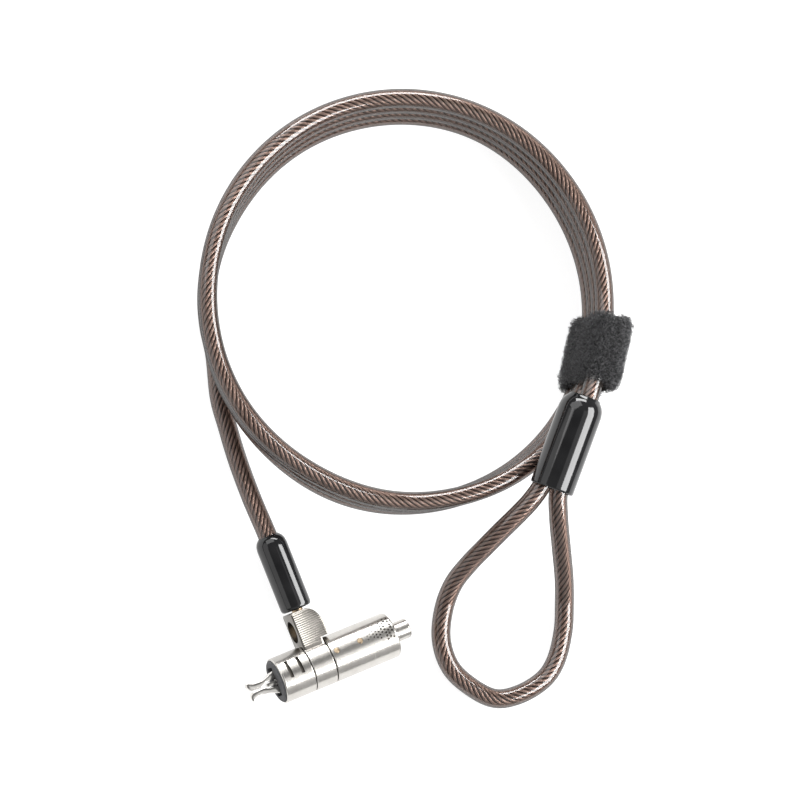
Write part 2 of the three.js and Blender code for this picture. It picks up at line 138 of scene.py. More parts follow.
def softbox(name, bearing, lean, width, height, brightness, distance=0.95):
    """A softbox aimed at the object: bearing anticlockwise from the right, lean away from the lens."""
    data = bpy.data.lights.new(name, "AREA")
    data.shape = "RECTANGLE"
    data.size, data.size_y = width, height
    data.energy = brightness * math.pi * width * height
    light = bpy.data.objects.new(name, data)
    bpy.context.scene.collection.objects.link(light)
    around, away = math.radians(bearing), math.radians(lean)
    sideways = view_right * math.cos(around) + view_up * math.sin(around)
    z_axis = sideways * math.sin(away) + back * math.cos(away)
    y_axis = back.cross(z_axis).normalized()
    x_axis = y_axis.cross(z_axis)
    turn = Matrix((x_axis, y_axis, z_axis)).transposed()
    light.matrix_world = Matrix.Translation(CAMERA_TARGET + z_axis * distance) @ turn.to_4x4()


def make_studio():
    softbox("right_strip", -4, 61, 0.55, 0.85, 13)
    softbox("top_strip", 80, 72, 0.30, 0.75, 14)
    softbox("front_panel", -14, 36, 0.5, 0.5, 0.62)
    softbox("top_panel", 112, 45, 0.66, 0.95, 2.4)
    softbox("low_panel", -76, 58, 1.1, 1.3, 0.36)
    softbox("left_panel", 185, 50, 0.6, 1.0, 1.0)
    world = bpy.data.worlds.new("studio")
    bpy.context.scene.world = world
    world.use_nodes = True
    background = world.node_tree.nodes["Background"]
    background.inputs["Color"].default_value = (1, 1, 1, 1)
    background.inputs["Strength"].default_value = 0.22
    bpy.context.scene.view_settings.view_transform = "Standard"
    bpy.ops.mesh.primitive_plane_add(size=6, location=(0.05, 0.05, -0.0003))
    floor = bpy.context.active_object
    floor.name = "floor"
    material, shader = new_material("floor_paper")
    shader.inputs["Base Color"].default_value = (0.3, 0.3, 0.3, 1)
    shader.inputs["Roughness"].default_value = 0.9
    shader.inputs["Specular IOR Level"].default_value = 0.1
    shader.inputs["Emission Color"].default_value = (1, 1, 1, 1)
    shader.inputs["Emission Strength"].default_value = 0.86
    floor.data.materials.append(material)


# ---------------------------------------------------------------- material helpers


def new_material(name):
    material = bpy.data.materials.new(name)
    material.use_nodes = True
    return material, material.node_tree.nodes["Principled BSDF"]


class Nodes:
    """Short names for building a node tree."""

    def __init__(self, material):
        self.tree = material.node_tree

    def add(self, kind, **values):
        node = self.tree.nodes.new(kind)
        for key, value in values.items():
            setattr(node, key, value)
        return node

    def link(self, source, target):
        self.tree.links.new(source, target)

    def coords(self, scale=(1, 1, 1), rotation=(0, 0, 0), output="Object"):
        source = self.add("ShaderNodeTexCoord")
        mapping = self.add("ShaderNodeMapping")
        mapping.inputs["Scale"].default_value = scale
        mapping.inputs["Rotation"].default_value = rotation
        self.link(source.outputs[output], mapping.inputs["Vector"])
        return mapping.outputs["Vector"]

    def noise(self, vector, scale, detail=4, roughness=0.55):
        node = self.add("ShaderNodeTexNoise")
        node.inputs["Scale"].default_value = scale
        node.inputs["Detail"].default_value = detail
        node.inputs["Roughness"].default_value = roughness
        self.link(vector, node.inputs["Vector"])
        return node.outputs["Fac"]

    def ramp(self, factor, stops):
        node = self.add("ShaderNodeValToRGB")
        elements = node.color_ramp.elements
        while len(elements) < len(stops):
            elements.new(0.5)
        for element, (place, colour) in zip(elements, stops):
            element.position = place
            element.color = (*colour, 1)
        self.link(factor, node.inputs["Fac"])
        return node.outputs["Color"]

    def spread(self, factor, low, high):
        node = self.add("ShaderNodeMapRange")
        node.inputs["From Min"].default_value = 0.3
        node.inputs["From Max"].default_value = 0.7
        node.inputs["To Min"].default_value = low
        node.inputs["To Max"].default_value = high
        self.link(factor, node.inputs["Value"])
        return node.outputs["Result"]

    def bump(self, height, strength, distance):
        node = self.add("ShaderNodeBump")
        node.inputs["Strength"].default_value = strength
        node.inputs["Distance"].default_value = distance
        self.link(height, node.inputs["Height"])
        return node.outputs["Normal"]


def plated_metal(name, light, dark, roughness, brush_scale, brush_depth):
    """Nickel plate: fine brushing across the given axis, small changes of tone, and dull spots."""
    material, shader = new_material(name)
    nodes = Nodes(material)
    shader.inputs["Metallic"].default_value = 1
    brushing = nodes.noise(nodes.coords(brush_scale), 1, 3, 0.7)
    cloud = nodes.noise(nodes.coords(), 260, 5, 0.6)
    nodes.link(nodes.ramp(cloud, [(0.3, dark), (0.65, light)]), shader.inputs["Base Color"])
    nodes.link(nodes.spread(brushing, roughness[0], roughness[1]), shader.inputs["Roughness"])
    nodes.link(nodes.bump(brushing, brush_depth, 0.00004), shader.inputs["Normal"])
    return material


def brass_metal():
    material, shader = new_material("turned_brass")
    nodes = Nodes(material)
    shader.inputs["Metallic"].default_value = 1
    rings = nodes.noise(nodes.coords((300, 300, 6000)), 1, 3)
    cloud = nodes.noise(nodes.coords(), 900, 4)
    colours = [(0.3, (0.34, 0.25, 0.16)), (0.7, (0.6, 0.48, 0.34))]
    nodes.link(nodes.ramp(cloud, colours), shader.inputs["Base Color"])
    nodes.link(nodes.spread(rings, 0.22, 0.42), shader.inputs["Roughness"])
    nodes.link(nodes.bump(rings, 0.2, 0.00003), shader.inputs["Normal"])
    return material


def pad_rubber():
    material, shader = new_material("pad_rubber")
    nodes = Nodes(material)
    grain = nodes.noise(nodes.coords(), 5200, 3, 0.7)
    cloud = nodes.noise(nodes.coords(), 600, 3)
    greys = [(0.3, (0.05, 0.05, 0.053)), (0.7, (0.1, 0.1, 0.104))]
    nodes.link(nodes.ramp(cloud, greys), shader.inputs["Base Color"])
    nodes.link(nodes.spread(grain, 0.7, 0.95), shader.inputs["Roughness"])
    nodes.link(nodes.bump(grain, 0.8, 0.00012), shader.inputs["Normal"])
    return material


def gloss_black():
    material, shader = new_material("gloss_black")
    nodes = Nodes(material)
    ripple = nodes.noise(nodes.coords(), 180, 2, 0.4)
    specks = nodes.noise(nodes.coords(), 4000, 2, 0.5)
    blacks = [(0.3, (0.004, 0.004, 0.0045)), (0.7, (0.009, 0.009, 0.0095))]
    nodes.link(nodes.ramp(ripple, blacks), shader.inputs["Base Color"])
    nodes.link(nodes.spread(specks, 0.06, 0.13), shader.inputs["Roughness"])
    shader.inputs["IOR"].default_value = 1.52
    nodes.link(nodes.bump(ripple, 0.12, 0.0002), shader.inputs["Normal"])
    return material


def dull_alloy():
    material, shader = new_material("dull_alloy")
    nodes = Nodes(material)
    shader.inputs["Metallic"].default_value = 1
    cloud = nodes.noise(nodes.coords(), 900, 5)
    greys = [(0.3, (0.34, 0.34, 0.35)), (0.7, (0.55, 0.55, 0.56))]
    nodes.link(nodes.ramp(cloud, greys), shader.inputs["Base Color"])
    nodes.link(nodes.spread(cloud, 0.35, 0.55), shader.inputs["Roughness"])
    return material


def rope_metal():
    """Twisted steel wire in a smoke-brown jacket: fine wires laid in each strand, with painted shade between
    the strands and between the wires.
    """
    material, shader = new_material("wire_rope")
    nodes = Nodes(material)
    shader.inputs["Metallic"].default_value = 0.9
    split = nodes.add("ShaderNodeSeparateXYZ")
    nodes.link(nodes.coords(output="UV"), split.inputs["Vector"])

    def wave(around, along):
        turns = nodes.add("ShaderNodeMath", operation="MULTIPLY")
        turns.inputs[1].default_value = 2 * math.pi * around
        nodes.link(split.outputs["X"], turns.inputs[0])
        total = nodes.add("ShaderNodeMath", operation="MULTIPLY_ADD")
        total.inputs[1].default_value = 2 * math.pi * along
        nodes.link(split.outputs["Y"], total.inputs[0])
        nodes.link(turns.outputs[0], total.inputs[2])
        cosine = nodes.add("ShaderNodeMath", operation="COSINE")
        nodes.link(total.outputs[0], cosine.inputs[0])
        lift = nodes.add("ShaderNodeMapRange")
        lift.inputs["From Min"].default_value = -1
        nodes.link(cosine.outputs[0], lift.inputs["Value"])
        return lift.outputs["Result"]

    wires = wave(STRANDS * 4, 330)
    strands = wave(STRANDS, 0)
    cloud = nodes.noise(nodes.coords(), 420, 4)
    colour = nodes.ramp(cloud, [(0.3, (0.5, 0.43, 0.39)), (0.7, (0.72, 0.64, 0.59))])
    # painted shade: the colour is darkened in the grooves between the strands, and more lightly between the
    # wires
    strand_gap_shade = nodes.ramp(strands, [(0.02, (0.1, 0.08, 0.07)), (0.42, (1, 1, 1))])
    fine = nodes.ramp(wires, [(0.0, (0.55, 0.52, 0.5)), (0.5, (1, 1, 1))])
    for layer in (strand_gap_shade, fine):
        mix = nodes.add("ShaderNodeMix", data_type="RGBA", blend_type="MULTIPLY")
        mix.inputs["Factor"].default_value = 1
        nodes.link(colour, mix.inputs[6])
        nodes.link(layer, mix.inputs[7])
        colour = mix.outputs[2]
    nodes.link(colour, shader.inputs["Base Color"])
    nodes.link(nodes.spread(cloud, 0.34, 0.46), shader.inputs["Roughness"])
    nodes.link(nodes.bump(wires, 0.5, 0.00006), shader.inputs["Normal"])
    return material


def clear_jacket():
    """Clear smoke-brown plastic: it lets the wire show and adds a gloss, darker where seen edge on."""
    material, shader = new_material("clear_jacket")
    nodes = Nodes(material)
    tree = material.node_tree
    facing = nodes.add("ShaderNodeLayerWeight")
    facing.inputs["Blend"].default_value = 0.5
    scuff = nodes.noise(nodes.coords(), 700, 4)
    tint = nodes.ramp(facing.outputs["Facing"], [
        (0.0, (0.74, 0.66, 0.63)), (0.5, (0.36, 0.3, 0.275)), (0.8, (0.07, 0.055, 0.048)),
        (1.0, (0.03, 0.022, 0.02)),
    ])
    clear = nodes.add("ShaderNodeBsdfTransparent")
    nodes.link(tint, clear.inputs["Color"])
    browns = [(0.3, (0.045, 0.036, 0.032)), (0.7, (0.07, 0.057, 0.05))]
    nodes.link(nodes.ramp(scuff, browns), shader.inputs["Base Color"])
    nodes.link(nodes.spread(scuff, 0.3, 0.4), shader.inputs["Roughness"])
    shader.inputs["Specular IOR Level"].default_value = 0.1
    haze = nodes.add("ShaderNodeMapRange")
    haze.inputs["To Min"].default_value = 0.06
    haze.inputs["To Max"].default_value = 0.75
    cube = nodes.add("ShaderNodeMath", operation="POWER")
    cube.inputs[1].default_value = 2.2
    nodes.link(facing.outputs["Facing"], cube.inputs[0])
    nodes.link(cube.outputs[0], haze.inputs["Value"])
    gloss = nodes.add("ShaderNodeBsdfGlossy")
    gloss.inputs["Roughness"].default_value = 0.06
    body = nodes.add("ShaderNodeMixShader")
    nodes.link(haze.outputs["Result"], body.inputs["Fac"])
    nodes.link(clear.outputs[0], body.inputs[1])
    nodes.link(shader.outputs[0], body.inputs[2])
    fresnel = nodes.add("ShaderNodeFresnel")
    fresnel.inputs["IOR"].default_value = 1.66
    edge = nodes.add("ShaderNodeMapRange")
    edge.inputs["From Min"].default_value = 0.6
    edge.inputs["From Max"].default_value = 0.82
    edge.inputs["To Min"].default_value = 0.3
    edge.inputs["To Max"].default_value = 0.0
    nodes.link(facing.outputs["Facing"], edge.inputs["Value"])
    shine = nodes.add("ShaderNodeMath", operation="MINIMUM")
    nodes.link(edge.outputs["Result"], shine.inputs[1])
    nodes.link(fresnel.outputs[0], shine.inputs[0])
    top = nodes.add("ShaderNodeMixShader")
    nodes.link(shine.outputs[0], top.inputs["Fac"])
    nodes.link(body.outputs[0], top.inputs[1])
    nodes.link(gloss.outputs[0], top.inputs[2])
    output = tree.nodes["Material Output"]
    nodes.link(top.outputs[0], output.inputs["Surface"])
    return material


def fleece_cloth():
    material, shader = new_material("fleece_cloth")
    nodes = Nodes(material)
    grain = nodes.noise(nodes.coords(), 2600, 5, 0.75)
    blacks = [(0.35, (0.002, 0.002, 0.0025)), (0.7, (0.012, 0.012, 0.013))]
    nodes.link(nodes.ramp(grain, blacks), shader.inputs["Base Color"])
    nodes.link(nodes.spread(grain, 0.85, 1.0), shader.inputs["Roughness"])
    nodes.link(nodes.bump(grain, 1.0, 0.0004), shader.inputs["Normal"])
    return material


def fleece_fibre():
    material, shader = new_material("fleece_fibre")
    nodes = Nodes(material)
    tone = nodes.noise(nodes.coords(), 1500, 3)
    greys = [(0.4, (0.01, 0.01, 0.011)), (0.62, (0.13, 0.13, 0.135))]
    nodes.link(nodes.ramp(tone, greys), shader.inputs["Base Color"])
    nodes.link(nodes.spread(tone, 0.35, 0.6), shader.inputs["Roughness"])
    return material


# ---------------------------------------------------------------- mesh helpers


def add_object(name, verts, faces, material, sharp_degrees=32):
    """Verts are in metres, in the row frame."""
    mesh = bpy.data.meshes.new(name)
    mesh.from_pydata(verts, [], faces)
    mesh.update()
    fix = bmesh.new()
    fix.from_mesh(mesh)
    bmesh.ops.recalc_face_normals(fix, faces=fix.faces)
    fix.to_mesh(mesh)
    fix.free()
    mesh.shade_smooth()
    mesh.set_sharp_from_angle(angle=math.radians(sharp_degrees))
    if material is not None:
        mesh.materials.append(material)
    piece = bpy.data.objects.new(name, mesh)
    bpy.context.scene.collection.objects.link(piece)
    return piece


def head_point(x, y, z):
    return NOSE + Vector((x, y, z)) * MM


def loft(rings, close_ring=True, caps=True):
    """Faces that join equal rings of points in order."""
    count = len(rings[0])
    verts = [point for ring in rings for point in ring]
    faces = []
    for i in range(len(rings) - 1):
        for j in range(count if close_ring else count - 1):
            k = (j + 1) % count
            faces.append((i * count + j, i * count + k, (i + 1) * count + k, (i + 1) * count + j))
    if caps:
        faces.append(tuple(range(count)))
        faces.append(tuple((len(rings) - 1) * count + j for j in range(count)))
    return verts, faces


def rounded(profile, radius, steps=3):
    """The same closed outline with each corner turned into an arc-like curve."""
    points = []
    count = len(profile)
    for i in range(count):
        here = Vector(profile[i])
        before = Vector(profile[i - 1])
        after = Vector(profile[(i + 1) % count])
        room = min(radius, (before - here).length * 0.45, (after - here).length * 0.45)
        start = here + (before - here).normalized() * room
        end = here + (after - here).normalized() * room
        for s in range(steps + 1):
            t = s / steps
            points.append(start * (1 - t) ** 2 + here * 2 * t * (1 - t) + end * t * t)
    return points


def turned(name, profile, place, material, segments=96, edge=0.12):
    """A closed outline of (along, radius) points swept round; place maps (along, a, b) to the row."""
    outline = rounded(profile, edge)
    rings = []
    for along, radius in outline:
        ring = []
        for i in range(segments):
            angle = 2 * math.pi * i / segments
            ring.append(place(along, radius * math.cos(angle), radius * math.sin(angle)))
        rings.append(ring)
    rings.append(rings[0])
    verts, faces = loft(rings[:-1], caps=False)
    count, last = segments, len(rings) - 2
    for j in range(count):
        k = (j + 1) % count
        faces.append((last * count + j, last * count + k, k, j))
    return add_object(name, verts, faces, material)


def prism(outline, low, high, place):
    """A straight solid from an outline of (a, b) points; place maps (a, b, depth) to the row."""
    rings = [[place(a, b, depth) for a, b in outline] for depth in (low, high)]
    return loft(rings)


def cutter(verts, faces):
    return add_object("cutter", verts, faces, None)


def box_cutter(low, high):
    outline = [(low[0], low[1]), (high[0], low[1]), (high[0], high[1]), (low[0], high[1])]
    return cutter(*prism(outline, low[2], high[2], head_point))


def rod_cutter(start, end, radius, place, segments=48):
    rings = []
    for along in (start, end):
        angles = [2 * math.pi * i / segments for i in range(segments)]
        rings.append([place(along, radius * math.cos(a), radius * math.sin(a)) for a in angles])
    return cutter(*loft(rings))


def carve(piece, cutters, operation="DIFFERENCE", edge=0.0):
    """Cuts the pieces out (or joins them), rounds the new edges, and leaves a plain mesh."""
    for tool in cutters:
        change = piece.modifiers.new("cut", "BOOLEAN")
        change.operation = operation
        change.solver = "EXACT"
        change.object = tool
    if edge > 0:
        soften = piece.modifiers.new("soften", "BEVEL")
        soften.width = edge * MM
        soften.segments = 2
        soften.limit_method = "ANGLE"
        soften.angle_limit = math.radians(40)
    graph = bpy.context.evaluated_depsgraph_get()
    mesh = bpy.data.meshes.new_from_object(piece.evaluated_get(graph), depsgraph=graph)
    piece.modifiers.clear()
    piece.data = mesh
    for tool in cutters:
        bpy.data.objects.remove(tool)
    mesh.shade_smooth()
    mesh.set_sharp_from_angle(angle=math.radians(32))
    return piece


def along_x(x, a, b):
    return head_point(x, a, b)


def true_round(piece, radius):
    """Gives the barrel's outside exact normals, so that cuts in it leave no ripples in its reflections."""
    mesh = piece.data
    normals = [Vector(corner.vector) for corner in mesh.corner_normals]
    for face in mesh.polygons:
        for loop in face.loop_indices:
            point = mesh.vertices[mesh.loops[loop].vertex_index].co - NOSE
            out = Vector((0, point.y, point.z))
            if abs(out.length - radius * MM) < 0.015 * MM and face.normal.dot(out.normalized()) > 0.995:
                normals[loop] = out.normalized()
    mesh.normals_split_custom_set(normals)
    return piece


def finish_piece(piece, body, slot, *nodes):
    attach(piece, body)
    if nodes:
        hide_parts(*nodes)
    return piece


# ---------------------------------------------------------------- cable


def coil_point(degrees, level):
    angle = math.radians(degrees)
    below = COIL_LEVELS - level
    out = -LEVEL_SHRINK * below
    for place, spread, top, bottom in LEANS:
        off = (degrees - place + 180) % 360 - 180
        out += math.exp(-((off / spread) ** 2)) * (top + (bottom - top) * below / COIL_LEVELS)
    x = COIL_CENTRE[0] + (COIL_RADIUS[0] + out) * math.cos(angle) + LEVEL_SHIFT[0] * below
    y = COIL_CENTRE[1] + (COIL_RADIUS[1] + out) * math.sin(angle) + LEVEL_SHIFT[1] * below
    strap = math.radians(STRAP_ANGLE)
    lean = (x - COIL_CENTRE[0]) * math.cos(strap) + (y - COIL_CENTRE[1]) * math.sin(strap)
    return Vector((x, y, CABLE_D / 2 + LEVEL_PITCH * level + COIL_LIFT + COIL_TILT * lean))


def smooth_step(value):
    t = min(1.0, max(0.0, value))
    return t * t * (3 - 2 * t)


def level_at(degrees):
    """Each turn steps down one level where the lowest one has left the stack."""
    low, high = STEP_DOWN_ANGLES
    level = COIL_LEVELS
    for turn in range(COIL_LEVELS):
        level -= smooth_step((degrees - low - 360 * turn) / (high - low))
    return level


def cable_route():
    """From inside the lock's sleeve: tail, coil, lead, through the loop's sleeve, loop, back in."""
    points = [Vector(p) for p in TAIL]
    degrees = 360 * COIL_LEVELS + 172
    while degrees >= -20:
        points.append(coil_point(degrees, level_at(degrees)))
        degrees -= 8
    points += [Vector(p) for p in reversed(LEAD_START)]
    points += [Vector(p) for p in LOOP]
    points.append(Vector((0.0802, 0.0255, 0.0224)))
    return points


def spline_points(points, step):
    """Points at even steps along a centripetal Catmull-Rom curve through the given points."""
    ends = [points[0] * 2 - points[1], *points, points[-1] * 2 - points[-2]]
    fine = []
    for i in range(1, len(ends) - 2):
        p0, p1, p2, p3 = ends[i - 1:i + 3]
        t0 = 0.0
        t1 = t0 + math.sqrt((p1 - p0).length)
        t2 = t1 + math.sqrt((p2 - p1).length)
        t3 = t2 + math.sqrt((p3 - p2).length)
        for s in range(16):
            t = t1 + (t2 - t1) * s / 16
            a1 = p0 * ((t1 - t) / (t1 - t0)) + p1 * ((t - t0) / (t1 - t0))
            a2 = p1 * ((t2 - t) / (t2 - t1)) + p2 * ((t - t1) / (t2 - t1))
            a3 = p2 * ((t3 - t) / (t3 - t2)) + p3 * ((t - t2) / (t3 - t2))
            b1 = a1 * ((t2 - t) / (t2 - t0)) + a2 * ((t - t0) / (t2 - t0))
            b2 = a2 * ((t3 - t) / (t3 - t1)) + a3 * ((t - t1) / (t3 - t1))
            fine.append(b1 * ((t2 - t) / (t2 - t1)) + b2 * ((t - t1) / (t2 - t1)))
    fine.append(points[-1])
    lengths = [0.0]
    for a, b in zip(fine, fine[1:]):
        lengths.append(lengths[-1] + (b - a).length)
    total = lengths[-1]
    count = round(total / step)
    even = []
    i = 0
    for n in range(count + 1):
        target = total * n / count
        while i < len(lengths) - 2 and lengths[i + 1] < target:
            i += 1
        t = (target - lengths[i]) / (lengths[i + 1] - lengths[i])
        even.append(fine[i].lerp(fine[i + 1], t))
    return even, total


def travelling_frames(path):
    """A side and an up direction at each point, carried along the path without twist."""
    frames = []
    normal = Vector((0, 0, 1))
    for i in range(len(path)):
        tangent = (path[min(i + 1, len(path) - 1)] - path[max(i - 1, 0)]).normalized()
        normal = (normal - tangent * normal.dot(tangent)).normalized()
        frames.append((tangent.cross(normal), normal))
    return frames


STRANDS = 8
STRAND_LAY = 0.0165


def rope_radius(angle):
    """The outline of a bundle of round strands."""
    strand = ROPE_R * math.sin(math.pi / STRANDS) / (1 + math.sin(math.pi / STRANDS))
    hub = ROPE_R - strand
    off = (angle + math.pi / STRANDS) % (2 * math.pi / STRANDS) - math.pi / STRANDS
    inside = strand * strand - (hub * math.sin(off)) ** 2
    return hub * math.cos(off) + math.sqrt(max(inside, 0))


def sweep(name, path, frames, sides, radius_at, twist_per_metre, step, material):
    rings = []
    uvs = []
    for i, (centre, (across_way, up_way)) in enumerate(zip(path, frames)):
        ring = []
        for j in range(sides):
            local = 2 * math.pi * j / sides
            turn = local + 2 * math.pi * twist_per_metre * step * i
            radius = radius_at(local)
            ring.append(centre + across_way * (radius * math.cos(turn)) + up_way * (radius * math.sin(turn)))
        rings.append(ring)
        uvs.append(step * i)
    verts, faces = loft(rings)
    piece = add_object(name, verts, faces, material, 60)
    layer = piece.data.uv_layers.new(name="UVMap")
    count = sides
    for face in piece.data.polygons:
        columns = [v % count for v in face.vertices]
        wraps = max(columns) - min(columns) > count / 2
        for loop, v in zip(face.loop_indices, face.vertices):
            column = v % count
            u = (column + count if wraps and column < count / 2 else column) / count
            layer.data[loop].uv = (u, uvs[v // count])
    return piece


def make_cable(jacket_material, rope_material):
    step = 0.001
    path, length = spline_points(cable_route(), step)
    step = length / (len(path) - 1)
    frames = travelling_frames(path)
    jacket = sweep("cable_jacket", path, frames, 20, lambda a: CABLE_D / 2, 0, step, jacket_material)
    rope = sweep("cable_wires", path, frames, STRANDS * 6, rope_radius, -1 / STRAND_LAY, step, rope_material)
    print(f"cable length {length:.4f} m")
    return jacket, rope, path, length


# ---------------------------------------------------------------- sleeves


def tube_place(foot, direction):
    axis = direction.normalized()
    side_way = axis.orthogonal().normalized()
    third = axis.cross(side_way)

    def place(along, a, b):
        return foot + axis * (along * MM) + side_way * (a * MM) + third * (b * MM)

    return place


def loop_sleeve(material):
    length = (SLEEVE_TOP - SLEEVE_BOTTOM).length / MM
    place = tube_place(SLEEVE_BOTTOM, SLEEVE_TOP - SLEEVE_BOTTOM)
    r = LOOP_SLEEVE_R
    shoulder = [
        (length - 4.4, r), (length - 2.9, r - 0.25), (length - 1.6, r - 0.85), (length - 0.7, r - 1.6),
    ]
    profile = [
        (0, 5.75), (-0.15, 6.0), (0, r - 0.15), (0.35, r), (length * 0.5, r + 0.02), *shoulder,
        (length - 0.15, r - 1.95), (length, r - 2.3), (length - 0.1, r - 2.6), (length - 0.8, r - 2.65),
        (length - 2.8, 5.7),
    ]
    return turned("loop_sleeve_cover", profile, place, material, 72, 0.5)


def end_sleeve(material):
    low, high = END_SLEEVE
    place = tube_place(head_point(STUD_X, 0, 0), Vector((0, 1, 0)))
    r = END_SLEEVE_R
    profile = [
        (low, 2.6), (low, r - 0.75), (low + 0.25, r - 0.25), (low + 0.9, r), (high - 3.2, r),
        (high - 1.8, r - 0.22),
        (high - 0.8, r - 0.75), (high - 0.2, r - 1.35), (high, 3.0), (high - 1, 2.85), (high - 3, 2.85),
        (low + 1, 3.4),
    ]
    return turned("end_sleeve_cover", profile, place, material, 72, 0.4)


# ---------------------------------------------------------------- lock head


def darken(piece, dark, low, high):
    """Gives the cuts in the barrel's outside, between two places along it, a dark copy of the metal: painted
    shade in the slots and dimples.
    """
    piece.data.materials.append(dark)
    for face in piece.data.polygons:
        point = face.center - NOSE
        radius = math.hypot(point.y, point.z) / MM
        if low < point.x / MM < high and BORE_R + 0.4 < radius < BARREL_R - 0.02:
            face.material_index = len(piece.data.materials) - 1
    return piece


def front_shell(material, dark):
    profile = [
        (0.85, 5.2), (0.85, 6.25), (0.0, 6.25), (-0.02, 6.5), (0.25, BARREL_R),
        (FRONT_SHELL_END - 0.12, BARREL_R),
        (FRONT_SHELL_END, BARREL_R - 0.12), (FRONT_SHELL_END, BORE_R), (2.4, BORE_R), (2.4, 5.2),
    ]
    shell = turned("front_shell_skin", profile, along_x, material, 128, 0.1)
    tools = [box_cutter((x - 0.5, -2.6, 5.45), (x + 0.5, 2.6, 8)) for x in SLOT_PLACES]
    turn = Matrix.Translation(NOSE) @ Matrix.Rotation(math.radians(-20), 4, "X") @ Matrix.Translation(-NOSE)
    for tool in tools:
        tool.data.transform(turn)
    shell = true_round(carve(shell, tools), BARREL_R)
    return darken(shell, dark, SLOT_PLACES[0] - 0.52, SLOT_PLACES[1] + 0.52)


def nose_pad(material):
    """A rubber disc with a wide window for the hooks."""
    outline = [(-0.45, 0), (-0.45, 5.9), (-0.25, 6.15), (0.7, 6.15), (0.7, 0)]
    rings = []
    for along, radius in outline:
        angles = [2 * math.pi * i / 96 for i in range(96)]
        r = max(radius, 0.01)
        rings.append([head_point(along, r * math.cos(a), r * math.sin(a)) for a in angles])
    pad = add_object("nose_pad_skin", *loft(rings), material)
    window = box_cutter((-1, -4.2, -3.2), (1, 4.2, 1.5))
    return carve(pad, [window], edge=0.08)


def swivel_band_and_lug(material, ring_material):
    """The ring round the barrel and its lug, with fine ribs across the lug's two broad faces."""
    ring_profile = [
        (RING_START, BORE_R), (RING_START, BARREL_R - 0.14), (RING_START + 0.14, BARREL_R),
        (RING_END - 0.14, BARREL_R), (RING_END, BARREL_R - 0.14), (RING_END, BORE_R),
    ]
    ring = turned("swivel_ring_skin", ring_profile, along_x, material, 128, 0.05)
    rings = []
    y = 5.0
    rib_pitch = 0.62
    while y <= LUG_TOP + 1e-6:
        over = max(0.0, (y - 9.6) / (LUG_TOP - 9.6))
        x_high = LUG_END - 4.3 * (1 - math.sqrt(max(0.0, 1 - over ** 2.2))) if y > 7.1 else RING_END
        x_high = max(x_high, RING_START + 4)
        near_top = max(0.0, (y - (LUG_TOP - 0.7)) / 0.7)
        inset = 0.5 * (1 - math.sqrt(max(0.0, 1 - near_top ** 2)))
        rib = 0.11 * (0.5 + 0.5 * math.cos(2 * math.pi * y / rib_pitch)) if y > 6.2 else 0.0
        half = LUG_HALF_DEPTH - inset
        x_low = RING_START + inset
        section = []
        for sign in (1, -1):
            corners = [
                (x_low, half - 0.5), (x_low + 0.12, half - 0.15), (x_low + 0.5, half),
                (x_low + 0.75, half - rib), (x_high - 0.75, half - rib),
                (x_high - 0.5, half), (x_high - 0.12, half - 0.15), (x_high, half - 0.5),
            ]
            if sign < 0:
                corners = corners[::-1]
            section += [head_point(x, y, z * sign) for x, z in corners]
        rings.append(section)
        y += rib_pitch / 8
    lug = add_object("lug", *loft(rings), None, 50)
    neck = rod_cutter(LUG_BORE_Y, LUG_TOP + 2, 1.95, lambda a, b, c: head_point(STUD_X + b, a, c))
    bore = rod_cutter(
        RING_START - 1, LUG_END - 0.9, LUG_BORE_R, lambda a, b, c: head_point(a, LUG_BORE_Y + b, c)
    )
    seat = rod_cutter(RING_START - 2, LUG_END + 2, BORE_R + 0.01, along_x, 128)
    carve(lug, [seat, bore, neck])
    overhang = rod_cutter(RING_END + 0.001, LUG_END + 2, BARREL_R + 0.12, along_x, 96)
    carve(lug, [overhang])
    band = true_round(carve(ring, [lug], "UNION"), BARREL_R)
    band.data.materials.clear()
    band.data.materials.append(material)
    band.data.materials.append(ring_material)
    # the lug's faces take the darker nickel as painted shade; the round band keeps the satin nickel
    for face in band.data.polygons:
        point = face.center - NOSE
        face.material_index = int(math.hypot(point.y, point.z) < (BARREL_R + 0.02) * MM)
    return band


def dimple_cutters():
    """A field of small cones that grow and crowd towards the key end."""
    verts = []
    faces = []
    sides = 10
    rows = 9
    for row in range(rows):
        x = 27.7 + row * 0.92
        size = 0.17 + 0.028 * row
        spread = 1 + row // 3
        for place in range(-spread, spread + 1):
            offset = place * 0.98 + (0.49 if row % 2 else 0)
            angle = math.radians(70) - offset / BARREL_R
            if random.random() < 0.16:
                continue
            centre = Vector((x, BARREL_R * math.cos(angle), BARREL_R * math.sin(angle)))
            out = Vector((0, math.cos(angle), math.sin(angle)))
            across_way = Vector((1, 0, 0))
            other = out.cross(across_way)
            first = len(verts)
            for depth, radius in ((0.12, size * 1.1), (-0.34, size * 0.7)):
                for i in range(sides):
                    a = 2 * math.pi * i / sides
                    point = centre + out * depth + (across_way * math.cos(a) + other * math.sin(a)) * radius
                    verts.append(head_point(*point))
            for i in range(sides):
                k = (i + 1) % sides
                faces.append((first + i, first + k, first + sides + k, first + sides + i))
            faces.append(tuple(first + i for i in reversed(range(sides))))
            faces.append(tuple(first + sides + i for i in range(sides)))
    return cutter(verts, faces)


DOWEL_ANGLE = math.radians(90 - 17)
DOWEL_PLACES = (17.9, 25.3)


def dowel_place(x):
    out = Vector((0, math.cos(DOWEL_ANGLE), math.sin(DOWEL_ANGLE)))
    return tube_place(head_point(x, 0, 0), out)


